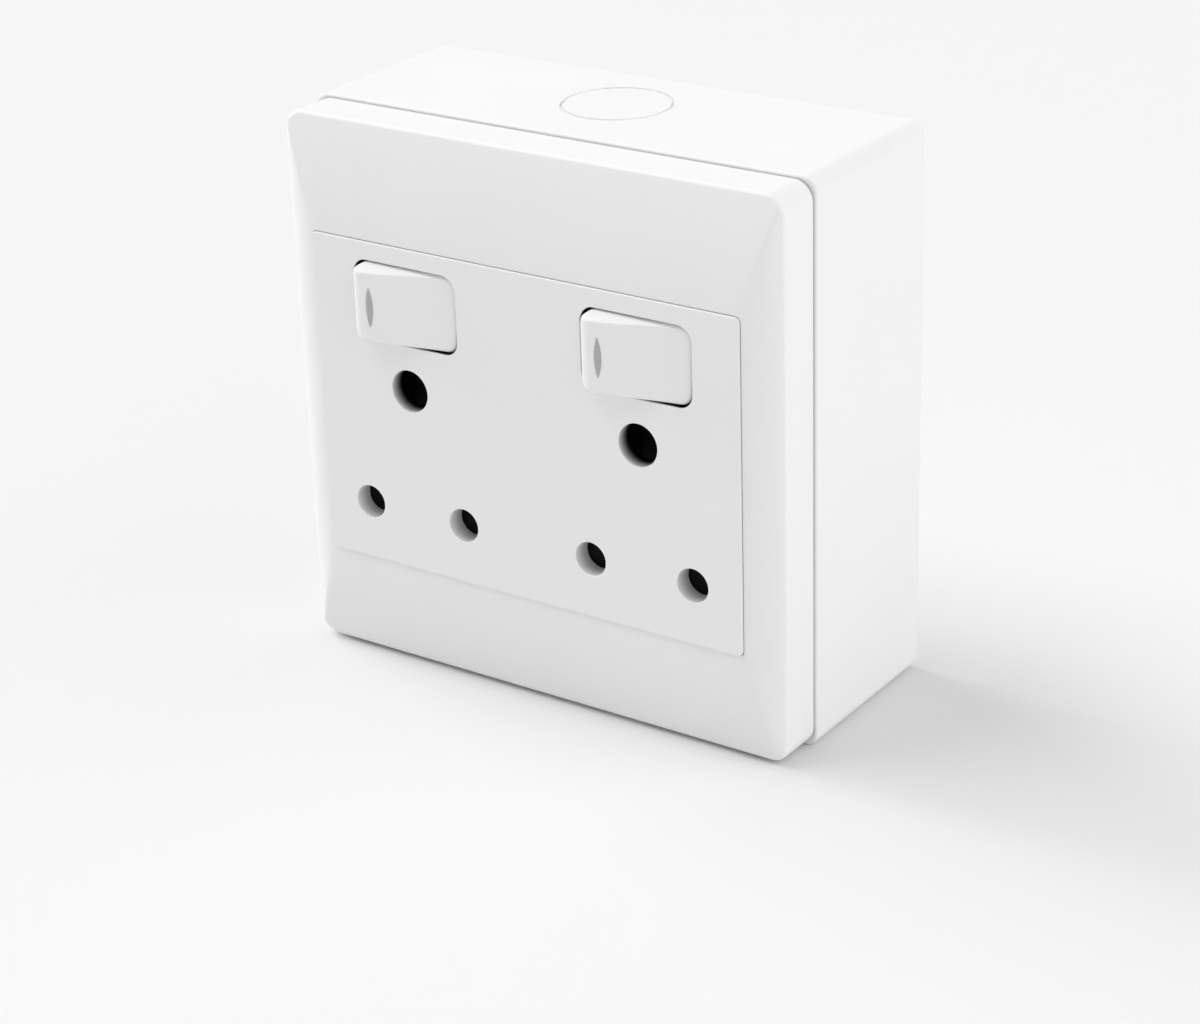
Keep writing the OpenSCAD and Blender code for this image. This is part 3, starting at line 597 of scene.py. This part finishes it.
def make_plate():
    """Cover plate: its inside from the CAD node, its rim, pillow and window edge made fresh."""
    bm = joined_mesh("cover_plate")
    bmesh.ops.delete(bm, geom=[face for face in bm.faces if is_plate_skin(face)],
                     context="FACES")
    edges = rounded_outline(PLATE_HALF, PLATE_HALF, PLATE_CORNER, SIDE_STEPS, SIDE_STEPS)
    windows = rounded_outline(*WINDOW_HALF, WINDOW_CORNER, SIDE_STEPS, SIDE_STEPS)
    draw_out(bm, list(zip(*map(plate_spoke, edges, windows))))
    weld(bm)
    moulding("pillow_plate", bm, "white_moulding", "socket", "cover_plate")


# Surface box and socket front

def make_box():
    """Surface box with its open edge and its back edge eased."""
    bm = joined_mesh("back_box")
    for radius, height in ((MOUTH_ROUND, BOX_FRONT), (BACK_ROUND, 0)):
        soften(bm, radius, lambda p: abs(-p.y - height) < CLOSE
               and max(abs(p.x), abs(p.z)) > BOX_HALF - BOX_EDGE)
    moulding("surface_box", bm, "white_moulding", "socket", "back_box")


def painted_shade_rate(p):
    """How fast painted shade darkens a pocket with depth, per metre, at a place on the socket front."""
    for outlet in (HINGES["rocker_" + side].x for side in SIDES):
        across, up = p.x - outlet, p.z - APERTURE_Z
        if math.hypot(across, p.z - EARTH_Z) < EARTH_HOLE + CLOSE:
            return EARTH_PAINTED_SHADE
        if math.hypot(abs(across) - PIN_PITCH / 2, p.z - PIN_Z) < PIN_HOLE + CLOSE:
            return PIN_PAINTED_SHADE
        if abs(across) < APERTURE[0] + CLOSE and abs(up) < APERTURE[1] + CLOSE:
            # Painted shade on the aperture's lower walls and its left end; the upper walls elsewhere stay
            # unpainted
            return APERTURE_PAINTED_SHADE if up < 0 or across < PAINTED_SHADE_LEFT_OF else 0
    return 0


def make_front():
    """Socket front with eased edges, and painted shade that darkens its holes and rocker apertures inside."""
    bm = joined_mesh("socket_front")
    soften(bm, FACE_ROUND, lambda p: -p.y > FACE - CLOSE)
    # Per-point painted shade: depth below the unpainted mouth times the pocket's rate
    painted_shade = bm.verts.layers.float.new("painted_pocket_shade")
    for vert in bm.verts:
        vert[painted_shade] = max(0, FACE + vert.co.y - UNPAINTED_MOUTH) * painted_shade_rate(vert.co)
    moulding("front_panel", bm, "white_moulding", "socket", "socket_front", "front_moulding_painted_shade")


# Rockers and lenses

def rocker_height(x, z):
    """Height of a rocker's front: a hump at the left that sweeps down to the right."""
    hump = HUMP_TOP - round_drop(HUMP_ROUND, x + ROCKER_HALF_W)
    sweep = ROCKER_END + (x - SWEEP_LOW) ** 2 / (2 * SWEEP_RADIUS)
    level = soft_min(hump, sweep, HUMP_BLEND)
    inset = edge_distance(x, z, ROCKER_HALF_W, ROCKER_HALF_H, ROCKER_CORNER)
    shoulder = FLANK_DROP - (HUMP_TOP - level) * FLANK_FADE
    flank = level - shoulder + (ROCKER_HALF_H - z) * FLANK_SLOPE
    return soft_min(level - round_drop(ROCKER_ROUND, inset), flank, FLANK_BLEND)


def is_rocker_skin(face):
    """Whether a face of the CAD rocker, laid level, is on its outside above the cap's base."""
    middle = face.calc_center_median()
    x, height, z = abs(middle.x), -middle.y, abs(middle.z)
    inside = (x < ROCKER_HALF_W - ROCKER_WALL and z < ROCKER_HALF_H - ROCKER_WALL
              and height < ROCKER_CEILING)
    within = x < ROCKER_HALF_W + CLOSE / 10 and z < ROCKER_HALF_H + CLOSE / 10
    return height > CAP_BASE and within and not inside


def on_hinge(side):
    """Where a level rocker goes: at its hinge, tilted."""
    return Matrix.Translation(HINGES["rocker_" + side]) @ Matrix.Rotation(ROCKER_TILT, 4, "Z")


def make_rocker(side):
    """Rocker with its CAD inside and a front of its own, in place on its hinge."""
    node = "rocker_" + side
    place = on_hinge(side)
    bm = joined_mesh(node)
    bmesh.ops.transform(bm, matrix=place.inverted(), verts=bm.verts)
    bmesh.ops.bisect_plane(bm, geom=bm.verts[:] + bm.edges[:] + bm.faces[:], dist=WELD / 2,
                           plane_co=(0, -CAP_BASE, 0), plane_no=(0, 1, 0))
    bmesh.ops.delete(bm, geom=[face for face in bm.faces if is_rocker_skin(face)],
                     context="FACES")
    outline = rounded_outline(ROCKER_HALF_W, ROCKER_HALF_H, ROCKER_CORNER,
                              CAP_LONG_STEPS, CAP_SHORT_STEPS)
    draw_cap(bm, [(x, z) for x, z, _, _ in outline], CAP_BASE, rocker_height, CAP_RINGS)
    weld(bm)
    bmesh.ops.transform(bm, matrix=place, verts=bm.verts)
    moulding(node + "_cap", bm, "white_moulding", node, node)


def lens_height(x, z):
    """Height of a lens over the hinge, round its own middle."""
    dome = LENS_DOME * (1 - (x / LENS_HALF_W) ** 2 - (z / LENS_HALF_L) ** 2)
    return rocker_height(LENS_X, 0) + LENS_PROUD + dome


def make_lens(side):
    """Slender pointed lens, slightly domed, in the left end of a rocker."""
    radius = (LENS_HALF_L ** 2 + LENS_HALF_W ** 2) / (2 * LENS_HALF_W)
    reach = math.asin(LENS_HALF_L / radius)
    outline = []
    for sign in (1, -1):
        for step in range(LENS_ARC_STEPS):
            angle = reach * (2 * step / LENS_ARC_STEPS - 1)
            outline.append((sign * (math.cos(angle) * radius - radius + LENS_HALF_W),
                            sign * math.sin(angle) * radius))
    bm = bmesh.new()
    draw_cap(bm, outline, LENS_BASE, lens_height, LENS_RINGS)
    weld(bm)
    bmesh.ops.transform(bm, matrix=on_hinge(side) @ Matrix.Translation((LENS_X, 0, LENS_Z)),
                        verts=bm.verts)
    moulding("pointed_lens_" + side, bm, "lens", "rocker_" + side, "indicator_lens_" + side)


# Assembly

bpy.context.scene.view_settings.view_transform = "Standard"
make_camera()
make_world()
make_floor()
make_lamps()
finishes = make_finishes()
for part in frame["record"]["subparts"]:
    slots = nodes[part["node"]].data.materials
    slots.clear()
    slots.append(finishes[part["material_slot"]])

make_plate()
make_box()
make_front()
for side in SIDES:
    make_rocker(side)
    make_lens(side)
